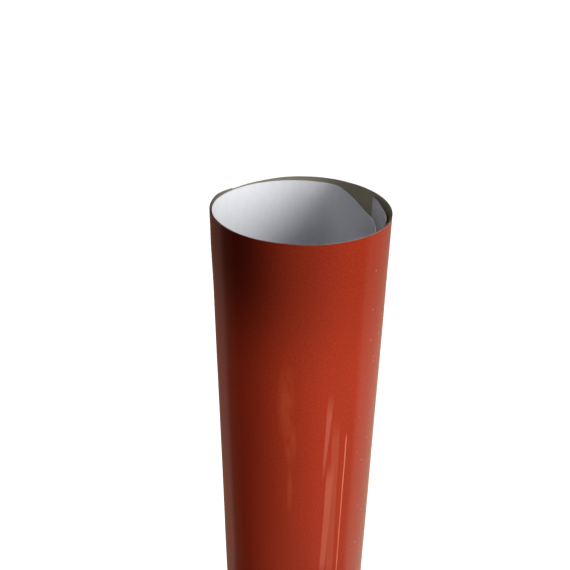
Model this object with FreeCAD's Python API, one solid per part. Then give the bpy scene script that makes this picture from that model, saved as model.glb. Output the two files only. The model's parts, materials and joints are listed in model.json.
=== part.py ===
import FreeCAD, Part

import math
import os

# A coreless roll of sign vinyl that stands on one end, in millimetres. +Z is up, and the
# origin is the middle of its outline on the surface that it stands on. Two laminated sheets
# are nested: a coloured outer sheet of nearly two turns, and a white inner sheet that
# springs out against it and has a slack lobe.
#
# Each sheet's run is its path seen from above, from its free outer end inwards. Angles are
# in degrees round the roll's axis, counter-clockwise from +X, and an angle that goes on past
# a full turn is the same sheet one turn further in.

# ---- driving dimensions ------------------------------------------------------------------
ROLL_LENGTH = 610.0  # width of the sheets, and so the height of the standing roll
ROLL_RADIUS = 60.0  # to the outer sheet's face, where nothing stands proud

FILM = 0.08  # vinyl face film
ADHESIVE = 0.03  # pressure-sensitive adhesive
LINER = 0.16  # siliconised release liner

FILM_SETBACK = 0.3  # the film has shrunk back from the liner's cut edges by this
ADHESIVE_SETBACK = 0.2
INNER_SHORT = 0.5  # the inner sheet's top is this far below the outer sheet's
FLAP_SHORT = 2.4  # and this far at its outer end, where it was cut askew
HINGE_GAP = 0.4  # between a sheet and its free end that flexes

# The outer sheet winds in counter-clockwise: (angle, how far its face stands outside
# ROLL_RADIUS). Its free end stands off the turn below it, and a second bulge is at the back.
OUTER_RUN = [
    (144, 1.6),
    (150, 2.8),
    (157, 3.9),
    (167, 3.1),
    (180, 2.15),
    (201, 1.0),
    (245, -0.3),
    (300, 0.2),
    (325, 0.0),
    (350, -1.1),
    (388, -1.0),
    (408, 0.2),
    (438, 2.8),
    (453, 2.9),
    (482, 0.5),
    (496, 0.2),
    (520, 1.4),
    (536, 1.55),
    (561, 0.15),
    (605, -0.8),
    (660, -0.4),
    (710, -1.8),
    (748, -1.75),
    (775, -0.7),
    (800, -0.4),
    (837, -1.2),
]
OUTER_TAIL_END = 180  # its free end flexes as far as this angle

# The inner sheet winds in clockwise: (angle, radius of its inward face). Its free outer
# end rests against the outer sheet. From about -290 on it leaves the wall, and crosses the
# roll as a slack chord that comes back to the wall near -400.
INNER_RUN = [
    (30, 57.3),
    (20, 54.9),
    (8, 53.5),
    (-6, 54.3),
    (-32, 57.1),
    (-50, 58.1),
    (-100, 58.1),
    (-145, 58.5),
    (-175, 60.1),
    (-190, 60.4),
    (-215, 59.2),
    (-250, 56.6),
    (-283, 53.4),
    (-290, 52.9),
    (-297, 51.7),
    (-304, 49.0),
    (-312, 45.0),
    (-330, 39.8),
    (-350, 38.3),
    (-368, 41.0),
    (-384, 48.0),
    (-392, 52.8),
    (-398, 55.6),
    (-405, 57.0),
    (-420, 57.35),
    (-475, 57.4),
]
INNER_FLAP_END = -32  # its free end flexes as far as this angle

LAYERS = [("face_film", FILM, FILM_SETBACK), ("adhesive", ADHESIVE, ADHESIVE_SETBACK)]
LAYERS += [("release_liner", LINER, 0.0)]


# ---- a run as tangent arcs ------------------------------------------------------------------
def polar(angle, radius):
    turn = math.radians(angle)
    return FreeCAD.Vector(radius * math.cos(turn), radius * math.sin(turn), 0)


def direction_at(point, a, b, c):
    """Which way the circle through a, b and c, in that order, passes a point on it."""
    centre = Part.Circle(a, b, c).Center
    return (b - a).cross(c - b).cross(point - centre).normalize()


def directions_of(points):
    """The run's direction at each point, from the circle through it and its neighbours."""
    last_three = len(points) - 3
    found = []
    for i, point in enumerate(points):
        first = min(max(i - 1, 0), last_three)
        found.append(direction_at(point, *points[first : first + 3]))
    return found


def arc_from(start, direction, end):
    """The arc that leaves start along a direction and arrives at end."""
    chord = end - start
    to_middle = (direction + FreeCAD.Vector(chord).normalize()).normalize()
    middle = start + to_middle * (chord.Length / 2 / to_middle.dot(direction))
    return Part.Arc(start, middle, end)


def biarc(start, start_direction, end, end_direction):
    """Two tangent arcs from one point and direction to another."""
    span = end - start
    a = 2 * (start_direction.dot(end_direction) - 1)
    b = -2 * span.dot(start_direction + end_direction)
    c = span.dot(span)
    reach = (-b - math.sqrt(b * b - 4 * a * c)) / (2 * a)
    meet = (start + end + (start_direction - end_direction) * reach) * 0.5
    meet_direction = (meet - start - start_direction * reach).normalize()
    return [arc_from(start, start_direction, meet), arc_from(meet, meet_direction, end)]


def arcs_of(points):
    """The whole run through its points, two arcs from each point to the next."""
    directions = directions_of(points)
    arcs = []
    for i in range(len(points) - 1):
        arcs += biarc(points[i], directions[i], points[i + 1], directions[i + 1])
    return arcs


def shortened(arc, gap):
    """An arc without its last stretch."""
    last = arc.parameterAtDistance(arc.length() - gap, arc.FirstParameter)
    middle = (arc.FirstParameter + last) / 2
    return Part.Arc(arc.value(arc.FirstParameter), arc.value(middle), arc.value(last))


# ---- a laminated sheet -------------------------------------------------------------------------
def moved_aside(arc, distance):
    """Start, middle and end of an arc, moved to its left by a distance."""
    stations = []
    for share in (0.0, 0.5, 1.0):
        u = arc.FirstParameter + share * (arc.LastParameter - arc.FirstParameter)
        (along,) = arc.tangent(u)
        left = FreeCAD.Vector(-along.y, along.x, 0)
        stations.append(arc.value(u) + left * distance)
    return stations


def layer(arcs, near, far, bottom, top):
    """One layer of a sheet: the strip between two offsets of its run, from bottom to top."""
    near_side = [moved_aside(arc, near) for arc in arcs]
    far_side = [moved_aside(arc, far) for arc in arcs]
    edges = [Part.Arc(*stations).toShape() for stations in near_side]
    edges.append(Part.LineSegment(near_side[-1][2], far_side[-1][2]).toShape())
    edges += [Part.Arc(*reversed(stations)).toShape() for stations in reversed(far_side)]
    edges.append(Part.LineSegment(far_side[0][0], near_side[0][0]).toShape())
    strip = Part.Face(Part.Wire(edges))
    strip.translate(FreeCAD.Vector(0, 0, bottom))
    return strip.extrude(FreeCAD.Vector(0, 0, top - bottom))


def sheet(name, arcs, layers, top):
    """A sheet's layers by name, stacked to the left of its run in the order given."""
    solids = {}
    depth = 0.0
    for layer_name, thickness, setback in layers:
        solids[f"{name}_{layer_name}"] = layer(arcs, depth, depth + thickness, setback, top - setback)
        depth += thickness
    return solids


def split_at(run, angle):
    """How many arcs of the run lie before one of its points."""
    return 2 * [at for at, _ in run].index(angle)


# Film outwards: the outer sheet's run is its face, and its layers follow inwards, which is
# to the left of a counter-clockwise run.
outer_arcs = arcs_of([polar(angle, ROLL_RADIUS + proud) for angle, proud in OUTER_RUN])
tail = split_at(OUTER_RUN, OUTER_TAIL_END)
outer_tail_arcs = outer_arcs[: tail - 1] + [shortened(outer_arcs[tail - 1], HINGE_GAP)]

# The inner sheet's run is its liner's inward face, and its layers follow outwards, which
# is to the left of a clockwise run, so its liner comes first.
inner_arcs = arcs_of([polar(angle, radius) for angle, radius in INNER_RUN])
flap = split_at(INNER_RUN, INNER_FLAP_END)
inner_flap_arcs = inner_arcs[: flap - 1] + [shortened(inner_arcs[flap - 1], HINGE_GAP)]
inner_layers = list(reversed(LAYERS))

nodes = {
    **sheet("outer_sheet", outer_arcs[tail:], LAYERS, ROLL_LENGTH),
    **sheet("outer_free_end", outer_tail_arcs, LAYERS, ROLL_LENGTH),
    **sheet("inner_sheet", inner_arcs[flap:], inner_layers, ROLL_LENGTH - INNER_SHORT),
    **sheet("inner_free_end", inner_flap_arcs, inner_layers, ROLL_LENGTH - FLAP_SHORT),
}

# The bulges make the roll a little wider on one side, so it is moved to stand with the
# middle of its outline on the origin.
outline = Part.makeCompound(list(nodes.values())).optimalBoundingBox(False, False)
to_origin = FreeCAD.Vector(-outline.Center.x, -outline.Center.y, 0)

os.makedirs("parts", exist_ok=True)
for name, solid in nodes.items():
    solid.translated(to_origin).exportStep(f"parts/{name}.step")
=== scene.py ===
import json
import math

import bpy
import numpy as np
from mathutils import Matrix, Vector

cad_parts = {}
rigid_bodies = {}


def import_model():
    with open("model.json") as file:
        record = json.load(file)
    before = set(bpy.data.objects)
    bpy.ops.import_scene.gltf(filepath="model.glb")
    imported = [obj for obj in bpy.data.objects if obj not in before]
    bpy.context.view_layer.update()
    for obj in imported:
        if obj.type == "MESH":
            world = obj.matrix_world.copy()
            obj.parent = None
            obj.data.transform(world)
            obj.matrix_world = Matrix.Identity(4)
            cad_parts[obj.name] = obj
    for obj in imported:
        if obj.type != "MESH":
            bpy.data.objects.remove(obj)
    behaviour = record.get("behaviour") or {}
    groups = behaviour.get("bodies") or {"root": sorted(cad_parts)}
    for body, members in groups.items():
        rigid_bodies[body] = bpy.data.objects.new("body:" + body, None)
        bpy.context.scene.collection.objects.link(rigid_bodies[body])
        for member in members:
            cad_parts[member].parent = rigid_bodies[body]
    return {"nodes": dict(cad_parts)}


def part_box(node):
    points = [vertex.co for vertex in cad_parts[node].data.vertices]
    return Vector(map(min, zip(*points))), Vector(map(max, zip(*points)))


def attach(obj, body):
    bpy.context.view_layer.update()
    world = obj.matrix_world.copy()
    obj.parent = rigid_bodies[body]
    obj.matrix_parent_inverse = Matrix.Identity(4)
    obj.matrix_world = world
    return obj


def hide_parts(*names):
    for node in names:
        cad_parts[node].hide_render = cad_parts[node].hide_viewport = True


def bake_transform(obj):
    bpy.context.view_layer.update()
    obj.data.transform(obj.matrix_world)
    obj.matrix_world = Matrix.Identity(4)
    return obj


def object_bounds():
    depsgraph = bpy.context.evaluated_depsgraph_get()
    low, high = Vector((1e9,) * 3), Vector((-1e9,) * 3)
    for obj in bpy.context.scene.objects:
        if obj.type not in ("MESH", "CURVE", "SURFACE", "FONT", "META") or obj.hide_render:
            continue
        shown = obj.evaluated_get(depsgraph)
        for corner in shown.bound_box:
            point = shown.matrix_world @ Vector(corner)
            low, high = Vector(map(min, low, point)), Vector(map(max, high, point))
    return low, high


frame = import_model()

# A roll of sign vinyl on end: two nested sheets, each of film, adhesive and liner. The frame
# holds each layer as a thin solid; here each is a fine mesh that follows the same run, with
# the small waves that thin film has. Everything is in metres.

CAD_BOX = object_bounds()
RIM = CAD_BOX[1][2]
MM = 0.001

# ---- the laminate: each layer's depth below the film's face, from and to ---------------------
FILM = 0.08 * MM
ADHESIVE = 0.03 * MM
LINER = 0.16 * MM
LAYERS = {
    "face_film": (0.0, FILM),
    "adhesive": (FILM, FILM + ADHESIVE),
    "release_liner": (FILM + ADHESIVE, FILM + ADHESIVE + LINER),
}

# ---- mesh ------------------------------------------------------------------------------------
COLUMN = 1.5 * MM  # along the run
ROW = 12.0 * MM  # up the sheet
EDGE_STRIP = 0.2 * MM  # the outermost columns and rows are this narrow, for a clean shaded edge
SHARP_ANGLE = 40  # degrees; edges that turn more than this are shaded sharp
REACH = 15.0 * MM  # a free end's piece covers this much of the sheet past its hinge line

# ---- the shape that the film has taken -------------------------------------------------------
AXIS = np.array([1.79 * MM, -1.57 * MM])  # the middle of the turns, seen from above
WAVE_SEED = 4
WAVE_COUNT = 14
WAVE_HEIGHT = 0.035 * MM
MOST_WAVES_ROUND = 6  # round the whole roll
WAVES_PER_METRE = (2, 16)  # up the roll, the least and the most
FLARE = 0.3 * MM  # how far the rim opens, most on the left
FLARE_DEPTH = 60.0 * MM  # the flare dies away downwards over about this much
BULGE = 0.35 * MM  # the film stands out a little under the rim too, most on the left
BULGE_DEPTH = 28.0 * MM  # below the rim
BULGE_REACH = 16.0 * MM  # above and below its middle
ASKEW_RUN = 200.0 * MM  # the inner sheet's top falls away over this much of its outer end
ASKEW_DROP = 1.9 * MM
DIP_START = 392.0 * MM  # and it dips once more where its inner end is tucked behind the front
DIP_RUN = 30.0 * MM
DIP_DROP = 2.6 * MM
SAG_AT = 535.0 * MM  # the outer sheet's inner turn sags here, by this much
SAG_REACH = 95.0 * MM
SAG_DROP = 0.8 * MM


# ---- runs read from the frame ----------------------------------------------------------------
SAME_HEIGHT = 0.01 * MM
CORNER_COSINE = 0.5  # an outline turns by more than 60 degrees at a strip's four corners only


def length_of(points):
    return float(np.linalg.norm(np.diff(points, axis=0), axis=1).sum())


def plan_outline(node):
    """The outline of a node's top face seen from above, as points in order."""
    mesh = frame["nodes"][node].data
    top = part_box(node)[1].z
    ways = set()
    for polygon in mesh.polygons:
        corners = [mesh.vertices[i].co for i in polygon.vertices]
        if min(corner.z for corner in corners) > top - SAME_HEIGHT:
            keys = [(round(corner.x, 6), round(corner.y, 6)) for corner in corners]
            ways |= set(zip(keys, keys[1:] + keys[:1]))
    after = {a: b for a, b in ways if (b, a) not in ways}
    outline = [min(after)]
    while after[outline[-1]] != outline[0]:
        outline.append(after[outline[-1]])
    return np.array(outline)


def outward_side(node):
    """The longest side of a thin curved strip, which is its outward one, as points in order."""
    outline = plan_outline(node)
    into = outline - np.roll(outline, 1, axis=0)
    out_of = np.roll(outline, -1, axis=0) - outline
    straightness = (into * out_of).sum(1) / np.linalg.norm(into, axis=1) / np.linalg.norm(out_of, axis=1)
    first, *others = np.flatnonzero(straightness < CORNER_COSINE)
    outline = np.roll(outline, -first, axis=0)
    looped = np.vstack([outline, outline[:1]])
    stops = [0, *(corner - first for corner in others), len(outline)]
    sides = [looped[a : b + 1] for a, b in zip(stops, stops[1:])]
    return max(sides, key=length_of)


def spline_through(points):
    """A natural cubic spline through points, as a function of the length along them."""
    along = np.concatenate([[0.0], np.cumsum(np.linalg.norm(np.diff(points, axis=0), axis=1))])
    step = np.diff(along)
    slope = np.diff(points, axis=0) / step[:, None]
    matrix = np.eye(len(points))
    bend = np.zeros((len(points), 2))
    for i in range(1, len(points) - 1):
        matrix[i, i - 1 : i + 2] = step[i - 1], 2 * (step[i - 1] + step[i]), step[i]
        bend[i] = 6 * (slope[i] - slope[i - 1])
    second = np.linalg.solve(matrix, bend)

    def at(s):
        i = np.clip(np.searchsorted(along, s, side="right") - 1, 0, len(step) - 1)
        wide = step[i][:, None]
        a = (along[i + 1] - s)[:, None] / wide
        b = 1 - a
        bow = ((a**3 - a) * second[i] + (b**3 - b) * second[i + 1]) * wide**2 / 6
        return a * points[i] + b * points[i + 1] + bow

    return at, float(along[-1])


class Run:
    """A sheet's path seen from above, along its film's face, from its free end inwards."""

    def __init__(self, sheet, free_end, clockwise):
        end = outward_side(f"{free_end}_face_film")
        rest = outward_side(f"{sheet}_face_film")
        ways = [(a, b) for a in (end, end[::-1]) for b in (rest, rest[::-1])]
        end, rest = min(ways, key=lambda way: np.linalg.norm(way[0][-1] - way[1][0]))
        self.hinge = length_of(end)
        self.at, self.length = spline_through(np.vstack([end, rest]))
        self.inward_turn = -1.0 if clockwise else 1.0

    def heading(self, s):
        """Unit vectors along the run."""
        near = 0.1 * MM
        s = np.clip(s, near, self.length - near)
        along = self.at(s + near) - self.at(s - near)
        return along / np.linalg.norm(along, axis=1)[:, None]

    def points(self, s, depth):
        """Points at a depth below the film's face."""
        along = self.heading(s)
        inwards = self.inward_turn * np.stack([-along[:, 1], along[:, 0]], axis=1)
        return self.at(s) + inwards * depth


# ---- a layer's mesh --------------------------------------------------------------------------
def make_waves(seed):
    """Random undulations, the same on every layer: (height, round the roll, up it, phase)."""
    random = np.random.default_rng(seed)
    least, most = WAVES_PER_METRE
    waves = []
    for _ in range(WAVE_COUNT):
        turns = int(random.integers(1, MOST_WAVES_ROUND + 1))
        rises = random.uniform(least, most)
        lowered = 6 / (3 + rises)  # short waves are lower than long ones
        height = WAVE_HEIGHT * random.uniform(0.5, 1.0) * lowered
        waves.append((height, turns, rises, random.uniform(0, math.tau)))
    return waves


WAVES = make_waves(WAVE_SEED)


def swell(plan, z):
    """How far the film stands outwards of its run, at points in plan and heights."""
    away = plan - AXIS
    angle = np.arctan2(away[..., 1], away[..., 0])
    total = np.zeros(np.broadcast(angle, z).shape)
    for height, turns, rises, phase in WAVES:
        total += height * np.sin(turns * angle + math.tau * rises * z + phase)
    below = RIM - z
    leftness = 0.5 - 0.5 * np.cos(angle)
    flare = FLARE * np.exp(-below / FLARE_DEPTH)
    bulge = BULGE * np.exp(-(((below - BULGE_DEPTH) / BULGE_REACH) ** 2))
    return total + leftness * (flare + bulge)


def stations(start, end, step):
    """Places from start to end, about a step apart, with a narrow first and last one."""
    count = max(2, round((end - start) / step))
    inner = np.linspace(start + EDGE_STRIP, end - EDGE_STRIP, count)
    return np.concatenate([[start], inner, [end]])


def grid_faces(index):
    corners = [index[:-1, :-1], index[1:, :-1], index[1:, 1:], index[:-1, 1:]]
    return np.stack([corner.ravel() for corner in corners], axis=1)


def strip_faces(columns, rows):
    """The faces of a closed strip: its two sides, and the edge all round between them."""
    count = columns * rows
    index = np.arange(count).reshape(columns, rows)
    near_side = grid_faces(index)
    far_side = grid_faces(index + count)[:, ::-1]
    ring = np.concatenate([index[:, 0], index[-1, 1:], index[-2::-1, -1], index[0, -2:0:-1]])
    beyond = np.roll(ring, -1)
    edge = np.stack([ring, ring + count, beyond + count, beyond], axis=1)
    return np.concatenate([near_side, far_side, edge])


def lay_flat(mesh, s, z):
    """A UV layout of the unrolled sheet: metres along the run, and metres up it."""
    one_side = np.stack([np.broadcast_to(s[:, None], z.shape), z], axis=2).reshape(-1, 2)
    both_sides = np.concatenate([one_side, one_side])
    layout = mesh.uv_layers.new(name="flat")
    loops = np.empty(len(mesh.loops), np.int64)
    mesh.loops.foreach_get("vertex_index", loops)
    layout.data.foreach_set("uv", both_sides[loops].ravel())


def strip_mesh(name, run, start, end, depths, bottom, top_at):
    """A closed thin strip along part of a run. top_at gives its top's height along the run."""
    s = stations(start, end, COLUMN)
    tops = top_at(s)
    rise = stations(0.0, tops.max() - bottom, ROW) / (tops.max() - bottom)
    z = bottom + rise[None, :] * (tops[:, None] - bottom)
    sides = []
    for depth in depths:
        plan = run.points(s, depth)
        outwards = (plan - AXIS) / np.linalg.norm(plan - AXIS, axis=1)[:, None]
        moved = plan[:, None, :] + outwards[:, None, :] * swell(plan[:, None, :], z)[..., None]
        sides.append(np.concatenate([moved, z[..., None]], axis=2).reshape(-1, 3))
    faces = strip_faces(*z.shape)
    if run.inward_turn < 0:
        faces = faces[:, ::-1]
    mesh = bpy.data.meshes.new(name)
    mesh.from_pydata(np.concatenate(sides).tolist(), [], faces.tolist())
    mesh.shade_smooth()
    mesh.set_sharp_from_angle(angle=math.radians(SHARP_ANGLE))
    lay_flat(mesh, s, z)
    mesh.update()
    return mesh


# ---- node helpers ----------------------------------------------------------------------------
class Nodes:
    """Short calls for building a material's or the world's node tree."""

    def __init__(self, tree):
        self.tree = tree
        tree.nodes.clear()

    def add(self, kind, inputs=None, **settings):
        node = self.tree.nodes.new(kind)
        for key, value in settings.items():
            setattr(node, key, value)
        for key, value in (inputs or {}).items():
            self.set(node.inputs[key], value)
        return node

    def set(self, socket, value):
        if isinstance(value, bpy.types.NodeSocket):
            self.tree.links.new(value, socket)
        elif isinstance(value, bpy.types.Node):
            self.tree.links.new(value.outputs[0], socket)
        else:
            socket.default_value = value

    def math(self, operation, a, b=0.0):
        return self.add("ShaderNodeMath", {0: a, 1: b}, operation=operation).outputs[0]

    def product(self, first, *others):
        for other in others:
            first = self.math("MULTIPLY", first, other)
        return first

    def mix(self, factor, a, b):
        node = self.add("ShaderNodeMix", data_type="RGBA")
        self.set(node.inputs[0], factor)
        self.set(node.inputs[6], a)
        self.set(node.inputs[7], b)
        return node.outputs[2]

    def flat(self):
        """Metres along the run and metres up the sheet, from lay_flat."""
        return self.add("ShaderNodeUVMap", uv_map="flat").outputs[0]

    def noise(self, vector, scale, detail=2.0, roughness=0.5, squeeze=None):
        """Noise; a squeeze under 1 draws it out that way, (along the run, up the sheet)."""
        if squeeze:
            mapping = {"Vector": vector, "Scale": (*squeeze, 1.0)}
            vector = self.add("ShaderNodeMapping", mapping).outputs[0]
        inputs = {"Vector": vector, "Scale": scale, "Detail": detail, "Roughness": roughness}
        return self.add("ShaderNodeTexNoise", inputs).outputs["Fac"]

    def bump(self, height, strength, distance):
        return self.add("ShaderNodeBump", {"Strength": strength, "Distance": distance, "Height": height})

    def ramp(self, value, low, high, to_low=0.0, to_high=1.0):
        inputs = {0: value, 1: low, 2: high, 3: to_low, 4: to_high}
        return self.add("ShaderNodeMapRange", inputs, clamp=True).outputs[0]


def material(name):
    made = bpy.data.materials.new(name)
    made.use_nodes = True
    return made, Nodes(made.node_tree)


def finished(made, nodes, colour, roughness, normal):
    inputs = {"Base Color": colour, "Roughness": roughness, "Normal": normal}
    shader = nodes.add("ShaderNodeBsdfPrincipled", inputs)
    nodes.add("ShaderNodeOutputMaterial", {0: shader})
    return made


def linear(red, green, blue):
    """A screen colour, 0 to 255, as the linear colour that nodes take."""
    shares = [c / 255 for c in (red, green, blue)]
    return (*(c / 12.92 if c <= 0.04045 else ((c + 0.055) / 1.055) ** 2.4 for c in shares), 1.0)


MIDDLE_OF_NOISE = (0.3, 0.7)  # noise lies mostly between these
NARROW_MIDDLE = (0.35, 0.65)
LOWER_MIDDLE = (0.3, 0.5)


# ---- the red film: its colours are linear ----------------------------------------------------
DARK_RED = (0.335, 0.0200, 0.0044, 1)
BRIGHT_RED = (0.405, 0.0275, 0.0068, 1)
GRAIN_RED = (0.54, 0.065, 0.02, 1)
DRAWN_RED = (0.30, 0.035, 0.013, 1)
# Painted reflection: a lighter red for the soft patches up the film.
PAINTED_REFLECTION_PATCH = (0.46, 0.052, 0.016, 1)
# Painted light: the two sheens are painted reflections, and the next colour is a painted highlight along a
# crease.
PAINTED_SHEEN = (0.49, 0.082, 0.041, 1)
PAINTED_FAINT_SHEEN = (0.425, 0.056, 0.023, 1)
PAINTED_CREASE_HIGHLIGHT = (0.68, 0.19, 0.09, 1)
DUST = (0.52, 0.24, 0.17, 1)
GRAIN_SHARE = 0.3
DRAWN_SHARE = 0.16
FILM_ROUGHNESS = (0.07, 0.12)

# Long painted streaks on the film: the lower and the upper end as (along the run, height, width), the
# softness of its sides, how far its ends fade out, and its colour. Three are painted reflections, pale
# streaks of sheen, and the last is a painted highlight along a thin crease.
PAINTED_STREAKS = [
    ((0.1604, 0.312, 0.0062), (0.1601, 0.475, 0.0056), 0.0011, 0.018, PAINTED_FAINT_SHEEN),
    ((0.1537, 0.318, 0.0042), (0.1575, 0.438, 0.0056), 0.0008, 0.018, PAINTED_SHEEN),
    ((0.1514, 0.420, 0.0012), (0.1553, 0.500, 0.0046), 0.0008, 0.022, PAINTED_SHEEN),
    ((0.1670, 0.300, 0.0007), (0.1690, 0.460, 0.0009), 0.0005, 0.004, PAINTED_CREASE_HIGHLIGHT),
]
PAINTED_STREAK_WOBBLE = 0.3 * MM  # the marks wander to either side by up to this
# The soft patches are painted reflection, lighter red in a blotchy column up the film.
PAINTED_REFLECTION_PATCHES = [  # soft patches: (along the run, height), (half length along the run, half height)
    ((0.1275, 0.415), (0.0022, 0.024)),
    ((0.1275, 0.458), (0.0050, 0.022)),
    ((0.1240, 0.492), (0.0065, 0.035)),
]
DUSTY = (0.178, 0.230)  # dust lies between these places along the run
DUST_FADE = 0.01
DUST_CELLS_PER_METRE = 160.0
DUST_SHARE = (0.86, 0.88)  # a cell whose random number is above these has a speck
SPECK = (0.11, 0.06)  # the radius of a speck's soft and solid part, in cells


def film_tint(nodes, flat, drift):
    """Red that drifts, with a fine grain and faint lines where the film was drawn."""
    tint = nodes.mix(drift, DARK_RED, BRIGHT_RED)
    grain = nodes.noise(flat, scale=620.0, detail=2.0, roughness=0.7)
    tint = nodes.mix(nodes.ramp(grain, *NARROW_MIDDLE, 0.0, GRAIN_SHARE), tint, GRAIN_RED)
    draw = nodes.noise(flat, scale=110.0, detail=4.0, roughness=0.6, squeeze=(1.0, 0.06))
    return nodes.mix(nodes.ramp(draw, *NARROW_MIDDLE, 0.0, DRAWN_SHARE), tint, DRAWN_RED)


def reflection_patch_mask(nodes, along, height, place, reach):
    """One in the middle of an oval patch, falling to zero at its edge."""
    across = nodes.math("DIVIDE", nodes.math("SUBTRACT", along, place[0]), reach[0])
    up = nodes.math("DIVIDE", nodes.math("SUBTRACT", height, place[1]), reach[1])
    squares = nodes.math("ADD", nodes.product(across, across), nodes.product(up, up))
    return nodes.ramp(squares, 1.0, 0.0)


# Painted reflection: lighter blotchy patches of red.
def with_painted_reflection_patches(nodes, flat, along, height, tint):
    blotches = nodes.noise(flat, scale=160.0, detail=3.0, roughness=0.6, squeeze=(1.0, 0.4))
    blotch = nodes.ramp(blotches, *LOWER_MIDDLE)
    for place, reach in PAINTED_REFLECTION_PATCHES:
        reflection_patch = nodes.product(reflection_patch_mask(nodes, along, height, place, reach), blotch)
        tint = nodes.mix(reflection_patch, tint, PAINTED_REFLECTION_PATCH)
    return tint


def painted_streak_mask(nodes, along, height, wobble, low, high, soft, fade):
    """One where a long painted streak is, with its width and place drawn between its two ends."""
    up = nodes.ramp(height, low[1], high[1])
    middle = nodes.math("ADD", nodes.ramp(up, 0, 1, low[0], high[0]), wobble)
    half = nodes.ramp(up, 0, 1, low[2] / 2, high[2] / 2)
    away = nodes.math("ABSOLUTE", nodes.math("SUBTRACT", along, middle))
    side = nodes.ramp(nodes.math("SUBTRACT", away, half), soft / 2, -soft / 2)
    lower_end = nodes.ramp(height, low[1], low[1] + fade)
    upper_end = nodes.ramp(height, high[1], high[1] - fade)
    return nodes.product(side, nodes.product(lower_end, upper_end))


# Painted reflection streaks and a painted crease highlight, laid over the film's own red.
def with_painted_streaks(nodes, flat, along, height, tint):
    only_up_the_sheet = (0.0, 1.0)
    wander = nodes.noise(flat, scale=40.0, detail=2.0, squeeze=only_up_the_sheet)
    wobble = nodes.ramp(wander, 0.0, 1.0, -PAINTED_STREAK_WOBBLE, PAINTED_STREAK_WOBBLE)
    for low, high, soft, fade, colour in PAINTED_STREAKS:
        tint = nodes.mix(painted_streak_mask(nodes, along, height, wobble, low, high, soft, fade), tint, colour)
    return tint


def with_dust(nodes, flat, along, tint):
    inputs = {"Vector": flat, "Scale": DUST_CELLS_PER_METRE}
    cells = nodes.add("ShaderNodeTexVoronoi", inputs, voronoi_dimensions="2D")
    number = nodes.add("ShaderNodeSeparateColor", {0: cells.outputs["Color"]})
    specks = nodes.product(
        nodes.ramp(number, *DUST_SHARE),
        nodes.ramp(cells.outputs["Distance"], *SPECK),
        nodes.ramp(along, DUSTY[0], DUSTY[0] + DUST_FADE),
        nodes.ramp(along, DUSTY[1], DUSTY[1] - DUST_FADE),
    )
    return nodes.mix(specks, tint, DUST)


def red_film_material():
    """Glossy film with a slight orange peel and dust, with painted reflection streaks and patches and a
    painted highlight along a crease.
    """
    made, nodes = material("red_gloss_film")
    flat = nodes.flat()
    parts = nodes.add("ShaderNodeSeparateXYZ", {0: flat})
    along, height = parts.outputs[0], parts.outputs[1]
    drift = nodes.noise(flat, scale=22.0, detail=3.0, squeeze=(1.0, 0.25))
    tint = film_tint(nodes, flat, drift)
    tint = with_painted_reflection_patches(nodes, flat, along, height, tint)
    tint = with_painted_streaks(nodes, flat, along, height, tint)
    tint = with_dust(nodes, flat, along, tint)
    roughness = nodes.ramp(drift, *MIDDLE_OF_NOISE, *FILM_ROUGHNESS)
    peel = nodes.bump(nodes.noise(flat, scale=900.0, detail=3.0), strength=0.05, distance=0.02 * MM)
    return finished(made, nodes, tint, roughness, peel)


# ---- liners, adhesive and plain film ---------------------------------------------------------
ROUGHNESS_DRIFT = 0.1


def liner_material(name, low, high, roughness):
    """Smooth siliconised paper, with a faint mottle and finer fibres."""
    made, nodes = material(name)
    flat = nodes.flat()
    mottle = nodes.noise(flat, scale=260.0, detail=4.0, roughness=0.6, squeeze=(1.0, 0.5))
    fibre = nodes.noise(flat, scale=2600.0, detail=2.0, squeeze=(1.0, 0.2))
    colour = nodes.mix(mottle, low, high)
    dullness = nodes.ramp(mottle, *MIDDLE_OF_NOISE, roughness, roughness + ROUGHNESS_DRIFT)
    return finished(made, nodes, colour, dullness, nodes.bump(fibre, strength=0.1, distance=0.03 * MM))


def plain_material(name, low, high, roughness):
    """Adhesive or unmarked film, with one fine grain."""
    made, nodes = material(name)
    grain = nodes.noise(nodes.flat(), scale=400.0, detail=3.0)
    colour = nodes.mix(grain, low, high)
    dullness = nodes.ramp(grain, *MIDDLE_OF_NOISE, roughness, roughness + ROUGHNESS_DRIFT)
    return finished(made, nodes, colour, dullness, nodes.bump(grain, strength=0.1, distance=0.02 * MM))


MATERIALS = {
    "red_film": red_film_material(),
    "white_film": plain_material("white_gloss_film", linear(214, 216, 214), linear(222, 223, 221), 0.2),
    "adhesive": plain_material("adhesive", linear(150, 128, 108), linear(166, 142, 120), 0.45),
    "grey_liner": liner_material("grey_liner", linear(147, 141, 122), linear(160, 154, 134), 0.35),
    "white_liner": liner_material("white_liner", linear(221, 223, 226), linear(235, 237, 239), 0.5),
}


# ---- the two sheets --------------------------------------------------------------------------
def make_sheet(sheet, free_end, clockwise, slots, top_at):
    """A sheet's layers, each as its main piece and its free end's piece.

    A layer is set back from the sheet's top by as much as its bottom is above the floor.
    """
    run = Run(sheet, free_end, clockwise)
    hinge = np.append(run.at(np.array([run.hinge]))[0], 0.0)
    inwards = np.append(run.heading(np.array([run.hinge]))[0], 0.0)
    seam = run.hinge + REACH
    for layer, depths in LAYERS.items():
        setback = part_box(f"{sheet}_{layer}")[0].z
        for body, start, end in ((sheet, seam, run.length), (free_end, 0.0, seam)):
            name = f"{body}_{layer}"
            mesh = strip_mesh(
                f"vinyl_{name}", run, start, end, depths, setback, lambda s: top_at(s) - setback
            )
            mesh.materials.append(MATERIALS[slots[layer]])
            piece = bpy.data.objects.new(mesh.name, mesh)
            bpy.context.scene.collection.objects.link(piece)
            if body == sheet:
                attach(piece, sheet)
            else:
                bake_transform(piece)
            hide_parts(name)
            tall = float(top_at(np.array([start, end])).mean()) - 2 * setback


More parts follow.
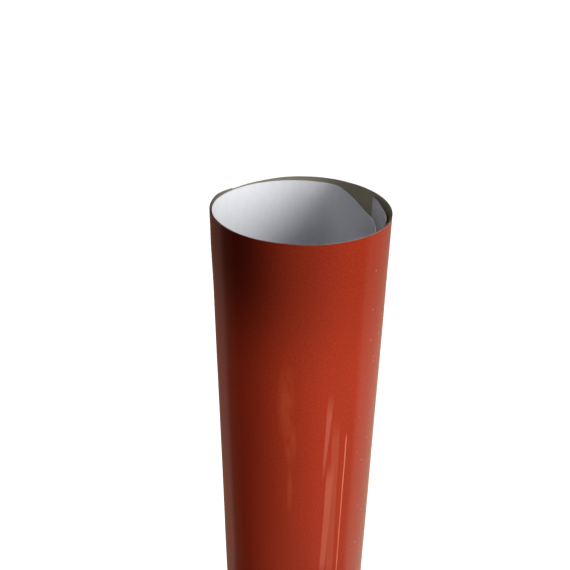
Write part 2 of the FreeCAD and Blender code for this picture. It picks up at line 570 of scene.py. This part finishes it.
def outer_top(s):
    """Level, but for the inner turn: it sits a little low where it runs behind the front."""
    away = np.clip(np.abs(s - SAG_AT) / SAG_REACH, 0, 1)
    return RIM - SAG_DROP * (0.5 + 0.5 * np.cos(math.pi * away))


def inner_top(s):
    """A little askew at the outer end, and dipping at the inner one."""
    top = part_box("inner_sheet_release_liner")[1].z
    dip = np.clip((s - DIP_START) / DIP_RUN, 0, 1)
    return top - ASKEW_DROP * np.clip(1 - s / ASKEW_RUN, 0, 1) - DIP_DROP * dip**2 * (3 - 2 * dip)


make_sheet(
    "outer_sheet",
    "outer_free_end",
    False,
    {"face_film": "red_film", "adhesive": "adhesive", "release_liner": "grey_liner"},
    outer_top,
)
make_sheet(
    "inner_sheet",
    "inner_free_end",
    True,
    {"face_film": "white_film", "adhesive": "adhesive", "release_liner": "white_liner"},
    inner_top,
)


# ---- floor -----------------------------------------------------------------------------------
FLOOR_REACH = 14.0
FLOOR_COLOUR = (0.92, 0.92, 0.92, 1)


def make_floor():
    """A pale floor that neither lights the roll nor shows in it."""
    far = FLOOR_REACH
    mesh = bpy.data.meshes.new("floor")
    corners = [(-far, -far, 0), (far, -far, 0), (far, far, 0), (-far, far, 0)]
    mesh.from_pydata(corners, [], [(0, 1, 2, 3)])
    floor = bpy.data.objects.new("floor", mesh)
    bpy.context.scene.collection.objects.link(floor)
    made, nodes = material("pale_floor")
    shader = nodes.add("ShaderNodeBsdfDiffuse", {"Color": FLOOR_COLOUR})
    nodes.add("ShaderNodeOutputMaterial", {0: shader})
    mesh.materials.append(made)
    floor.visible_diffuse = False
    floor.visible_glossy = False
    return floor


# ---- lamps -----------------------------------------------------------------------------------
OVERHEAD_STRENGTH = 3.4
OVERHEAD_SPREAD = 25  # degrees


def make_lamp(name, kind, strength):
    light = bpy.data.lights.new(name, kind)
    light.energy = strength
    lamp = bpy.data.objects.new(name, light)
    bpy.context.scene.collection.objects.link(lamp)
    return lamp


def make_area_light(name, azimuth, distance, height, size, watts, aim=RIM, spread=180):
    """A soft light that stands round the roll and points at a height on its axis.

    The azimuth and the spread are in degrees, the azimuth counter-clockwise from +X. The
    film doesn't mirror it.
    """
    turn = math.radians(azimuth)
    place = Vector((distance * math.cos(turn), distance * math.sin(turn), height))
    lamp = make_lamp(name, "AREA", watts)
    lamp.data.shape = "RECTANGLE"
    lamp.data.size, lamp.data.size_y = size
    lamp.data.spread = math.radians(spread)
    lamp.location = place
    lamp.rotation_euler = (Vector((0, 0, aim)) - place).to_track_quat("-Z", "Y").to_euler()
    lamp.visible_glossy = False
    return lamp


def light_only(lamp, objects):
    """Let a lamp light these objects and nothing else."""
    lit = bpy.data.collections.new(f"{lamp.name}_only")
    for item in objects:
        lit.objects.link(item)
    lamp.light_linking.receiver_collection = lit


def pieces_of(layer, sheet=""):
    """A layer's pieces, in both sheets or in the bodies whose names start with a word."""
    found = []
    for item in bpy.data.objects:
        if item.name.startswith(f"vinyl_{sheet}") and item.name.endswith(layer):
            found.append(item)
    return found


def make_lamps(floor):
    overhead = make_lamp("overhead", "SUN", OVERHEAD_STRENGTH)
    overhead.data.angle = math.radians(OVERHEAD_SPREAD)
    light_only(overhead, [floor])
    make_area_light("key", azimuth=-34, distance=1.25, height=RIM + 0.6, size=(0.5, 1.3), watts=22.6)
    make_area_light(
        "fill", azimuth=-84, distance=0.9, height=0.18, aim=0.18, size=(0.5, 0.73), watts=0.38, spread=8
    )
    glance = make_area_light(
        "glance", azimuth=-75, distance=1.2, height=RIM + 0.26, size=(0.5, 0.42), watts=3.0
    )
    light_only(glance, pieces_of("release_liner", "inner"))
    kick = make_area_light("kick", azimuth=205, distance=0.8, height=RIM + 1.1, size=(0.4, 0.4), watts=2.0)
    light_only(kick, pieces_of("release_liner", "outer_sheet"))
    back = make_area_light(
        "back", azimuth=90, distance=1.6, height=RIM + 0.1, aim=RIM / 2, size=(0.4, 1.0), watts=14.0
    )
    light_only(back, pieces_of("face_film"))


# ---- surroundings ----------------------------------------------------------------------------
SURROUNDINGS = [  # azimuth in degrees, and the colour that the film mirrors from there
    (-180, (0.03, 0.02, 0.015)),
    (-140, (0.06, 0.05, 0.04)),
    (-100, (0.15, 0.14, 0.11)),
    (-50, (0.24, 0.22, 0.20)),
    (-7, (0.20, 0.18, 0.14)),
    (2, (0.52, 0.46, 0.37)),
    (35, (0.55, 0.46, 0.37)),
    (60, (0.55, 0.38, 0.27)),
    (80, (0.62, 0.39, 0.28)),
    (95, (0.28, 0.14, 0.08)),
    (110, (0.25, 0.10, 0.06)),
    (146, (0.36, 0.18, 0.14)),
    (157, (0.12, 0.075, 0.055)),
    (180, (0.03, 0.02, 0.015)),
]
SKY = (0.33, 0.27, 0.40, 1)
SKY_STRENGTH = 0.3
HORIZON = (0.1, -0.1)  # the sky gives way to the surroundings between these rises
DEEPER = (-0.35, -0.6)  # and between these, further down, the light grows
DEEPER_STRENGTH = (0.6, 1.05)  # from the first to the second of these
SEEN_STRENGTH = 1.1
WHITE = (1, 1, 1, 1)


def make_world():
    """Surroundings that are dim to the roll, brighter on the right, and white to the eye."""
    world = bpy.data.worlds.new("studio")
    bpy.context.scene.world = world
    world.use_nodes = True
    nodes = Nodes(world.node_tree)
    way = nodes.add("ShaderNodeTexCoord").outputs["Generated"]
    parts = nodes.add("ShaderNodeSeparateXYZ", {0: way})
    rise = parts.outputs[2]
    azimuth = nodes.math("ARCTAN2", parts.outputs[1], parts.outputs[0])
    ring = nodes.add("ShaderNodeValToRGB", {0: nodes.ramp(azimuth, -math.pi, math.pi)})
    while len(ring.color_ramp.elements) < len(SURROUNDINGS):
        ring.color_ramp.elements.new(0.5)
    for stop, (degrees, colour) in zip(ring.color_ramp.elements, SURROUNDINGS):
        stop.position = (degrees + 180) / 360
        stop.color = (*colour, 1)
    below = nodes.ramp(rise, *HORIZON)
    strength = nodes.ramp(below, 0.0, 1.0, SKY_STRENGTH, 1.0)
    strength = nodes.product(strength, nodes.ramp(rise, *DEEPER, *DEEPER_STRENGTH))
    colour = nodes.mix(below, SKY, ring.outputs[0])
    dim = nodes.add("ShaderNodeBackground", {"Color": colour, "Strength": strength})
    white = nodes.add("ShaderNodeBackground", {"Color": WHITE, "Strength": SEEN_STRENGTH})
    seen = nodes.add("ShaderNodeLightPath").outputs["Is Camera Ray"]
    nodes.add("ShaderNodeOutputWorld", {0: nodes.add("ShaderNodeMixShader", {0: seen, 1: dim, 2: white})})


# ---- camera ----------------------------------------------------------------------------------
LENS = 42.37  # mm, on a sensor this wide:
SENSOR = 36.0
LOOK_DOWN = 28.075  # degrees
LEAN = 0.498
EYE = (-0.01172, -0.41795, 0.16419)  # from the middle of the turns, at the rim


def make_camera():
    camera = bpy.data.cameras.new("camera")
    camera.lens = LENS
    camera.sensor_width = SENSOR
    seen = bpy.data.objects.new("camera", camera)
    bpy.context.scene.collection.objects.link(seen)
    tilt = Matrix.Rotation(math.radians(90 - LOOK_DOWN), 4, "X")
    lean = Matrix.Rotation(math.radians(LEAN), 4, "Z")
    place = (AXIS[0] + EYE[0], AXIS[1] + EYE[1], RIM + EYE[2])
    seen.matrix_world = Matrix.Translation(place) @ tilt @ lean
    bpy.context.scene.camera = seen


make_lamps(make_floor())
make_world()
make_camera()
bpy.context.scene.view_settings.view_transform = "Standard"
